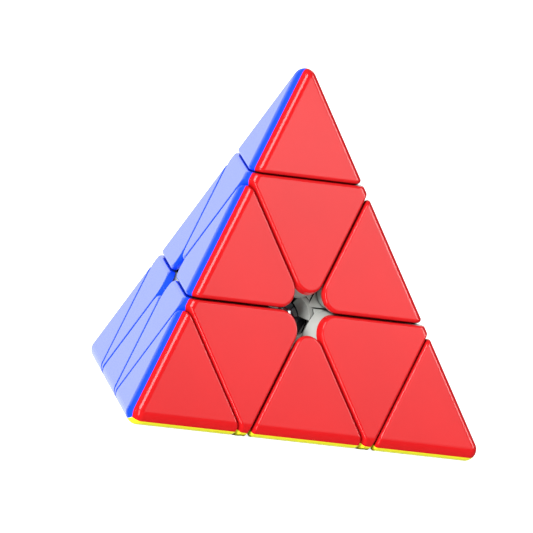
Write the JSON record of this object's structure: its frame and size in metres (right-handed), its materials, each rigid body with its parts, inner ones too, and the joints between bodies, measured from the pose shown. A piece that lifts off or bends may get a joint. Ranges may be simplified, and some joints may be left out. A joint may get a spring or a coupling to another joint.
{
  "type": "pyramid twisty puzzle",
  "caption": "Pyramid puzzle with turning corners, small turning tips and edge pieces; coloured caps on pale bases around a sprung ball core.",
  "frame": {"origin": "the point inside the puzzle where its four turning axes cross, which is also the centroid", "axes": "+Z through the top vertex, so the yellow face is level at the bottom; +Y towards the back vertex, away from the red face; +X to the right of the red face"},
  "size_m": [0.098, 0.0855, 0.081],
  "materials": {
    "core_plastic": "gloss near-black moulded plastic",
    "base_plastic": "pale grey moulded plastic",
    "red_cap_plastic": "satin bright red plastic",
    "blue_cap_plastic": "satin bright blue plastic",
    "green_cap_plastic": "satin bright green plastic",
    "yellow_cap_plastic": "satin bright yellow plastic",
    "screw_steel": "zinc plated steel",
    "spring_steel": "spring steel wire",
    "washer_steel": "zinc plated steel"
  },
  "bodies": {
    "core": {"core": "core_plastic", "axis_screws": "screw_steel", "axis_springs": "spring_steel", "spring_washers": "washer_steel"},
    "centre_top": {"centre_top_base": "base_plastic", "centre_top_red_cap": "red_cap_plastic", "centre_top_green_cap": "green_cap_plastic", "centre_top_blue_cap": "blue_cap_plastic"},
    "tip_top": {"tip_top_base": "base_plastic", "tip_top_red_cap": "red_cap_plastic", "tip_top_green_cap": "green_cap_plastic", "tip_top_blue_cap": "blue_cap_plastic"},
    "centre_back": {"centre_back_base": "base_plastic", "centre_back_yellow_cap": "yellow_cap_plastic", "centre_back_green_cap": "green_cap_plastic", "centre_back_blue_cap": "blue_cap_plastic"},
    "tip_back": {"tip_back_base": "base_plastic", "tip_back_yellow_cap": "yellow_cap_plastic", "tip_back_green_cap": "green_cap_plastic", "tip_back_blue_cap": "blue_cap_plastic"},
    "centre_left": {"centre_left_base": "base_plastic", "centre_left_yellow_cap": "yellow_cap_plastic", "centre_left_red_cap": "red_cap_plastic", "centre_left_blue_cap": "blue_cap_plastic"},
    "tip_left": {"tip_left_base": "base_plastic", "tip_left_yellow_cap": "yellow_cap_plastic", "tip_left_red_cap": "red_cap_plastic", "tip_left_blue_cap": "blue_cap_plastic"},
    "centre_right": {"centre_right_base": "base_plastic", "centre_right_yellow_cap": "yellow_cap_plastic", "centre_right_red_cap": "red_cap_plastic", "centre_right_green_cap": "green_cap_plastic"},
    "tip_right": {"tip_right_base": "base_plastic", "tip_right_yellow_cap": "yellow_cap_plastic", "tip_right_red_cap": "red_cap_plastic", "tip_right_green_cap": "green_cap_plastic"},
    "edge_top_left": {"edge_top_left_base": "base_plastic", "edge_top_left_red_cap": "red_cap_plastic", "edge_top_left_blue_cap": "blue_cap_plastic"},
    "edge_top_right": {"edge_top_right_base": "base_plastic", "edge_top_right_red_cap": "red_cap_plastic", "edge_top_right_green_cap": "green_cap_plastic"},
    "edge_top_back": {"edge_top_back_base": "base_plastic", "edge_top_back_green_cap": "green_cap_plastic", "edge_top_back_blue_cap": "blue_cap_plastic"},
    "edge_left_right": {"edge_left_right_base": "base_plastic", "edge_left_right_yellow_cap": "yellow_cap_plastic", "edge_left_right_red_cap": "red_cap_plastic"},
    "edge_left_back": {"edge_left_back_base": "base_plastic", "edge_left_back_yellow_cap": "yellow_cap_plastic", "edge_left_back_blue_cap": "blue_cap_plastic"},
    "edge_right_back": {"edge_right_back_base": "base_plastic", "edge_right_back_yellow_cap": "yellow_cap_plastic", "edge_right_back_green_cap": "green_cap_plastic"}
  },
  "joints": [
    {"name": "top_layer_turn", "type": "hinge", "parent": "core", "child": "centre_top", "pos_m": [0, 0, 0], "axis": [0, 0, 1], "range_deg": [-240, 120]},
    {"name": "back_layer_turn", "type": "hinge", "parent": "core", "child": "centre_back", "pos_m": [0, 0, 0], "axis": [0, 0.9428, -0.3333], "range_deg": [-240, 120]},
    {"name": "left_layer_turn", "type": "hinge", "parent": "core", "child": "centre_left", "pos_m": [0, 0, 0], "axis": [-0.8165, -0.4714, -0.3333], "range_deg": [-240, 120]},
    {"name": "right_layer_turn", "type": "hinge", "parent": "core", "child": "centre_right", "pos_m": [0, 0, 0], "axis": [0.8165, -0.4714, -0.3333], "range_deg": [-240, 120]},
    {"name": "top_tip_turn", "type": "hinge", "parent": "centre_top", "child": "tip_top", "pos_m": [0, 0, 0], "axis": [0, 0, 1], "continuous": true},
    {"name": "back_tip_turn", "type": "hinge", "parent": "centre_back", "child": "tip_back", "pos_m": [0, 0, 0], "axis": [0, 0.9428, -0.3333], "continuous": true},
    {"name": "left_tip_turn", "type": "hinge", "parent": "centre_left", "child": "tip_left", "pos_m": [0, 0, 0], "axis": [-0.8165, -0.4714, -0.3333], "continuous": true},
    {"name": "right_tip_turn", "type": "hinge", "parent": "centre_right", "child": "tip_right", "pos_m": [0, 0, 0], "axis": [0.8165, -0.4714, -0.3333], "continuous": true},
    {"name": "top_left_edge_turn", "type": "hinge", "parent": "centre_top", "child": "edge_top_left", "pos_m": [0, 0, 0], "axis": [-0.8165, -0.4714, -0.3333], "range_deg": [-240, 120]},
    {"name": "top_right_edge_turn", "type": "hinge", "parent": "centre_top", "child": "edge_top_right", "pos_m": [0, 0, 0], "axis": [0.8165, -0.4714, -0.3333], "range_deg": [-240, 120]},
    {"name": "top_back_edge_turn", "type": "hinge", "parent": "centre_top", "child": "edge_top_back", "pos_m": [0, 0, 0], "axis": [0, 0.9428, -0.3333], "range_deg": [-240, 120]},
    {"name": "left_right_edge_turn", "type": "hinge", "parent": "centre_left", "child": "edge_left_right", "pos_m": [0, 0, 0], "axis": [0.8165, -0.4714, -0.3333], "range_deg": [-240, 120]},
    {"name": "left_back_edge_turn", "type": "hinge", "parent": "centre_back", "child": "edge_left_back", "pos_m": [0, 0, 0], "axis": [-0.8165, -0.4714, -0.3333], "range_deg": [-240, 120]},
    {"name": "right_back_edge_turn", "type": "hinge", "parent": "centre_right", "child": "edge_right_back", "pos_m": [0, 0, 0], "axis": [0, 0.9428, -0.3333], "range_deg": [-240, 120]}
  ],
  "couplings": [
    {"joint": "top_left_edge_turn", "follows": "left_layer_turn", "ratio": 1},
    {"joint": "top_right_edge_turn", "follows": "right_layer_turn", "ratio": 1},
    {"joint": "top_back_edge_turn", "follows": "back_layer_turn", "ratio": 1},
    {"joint": "left_right_edge_turn", "follows": "right_layer_turn", "ratio": 1},
    {"joint": "left_back_edge_turn", "follows": "left_layer_turn", "ratio": 1},
    {"joint": "right_back_edge_turn", "follows": "back_layer_turn", "ratio": 1}
  ]
}
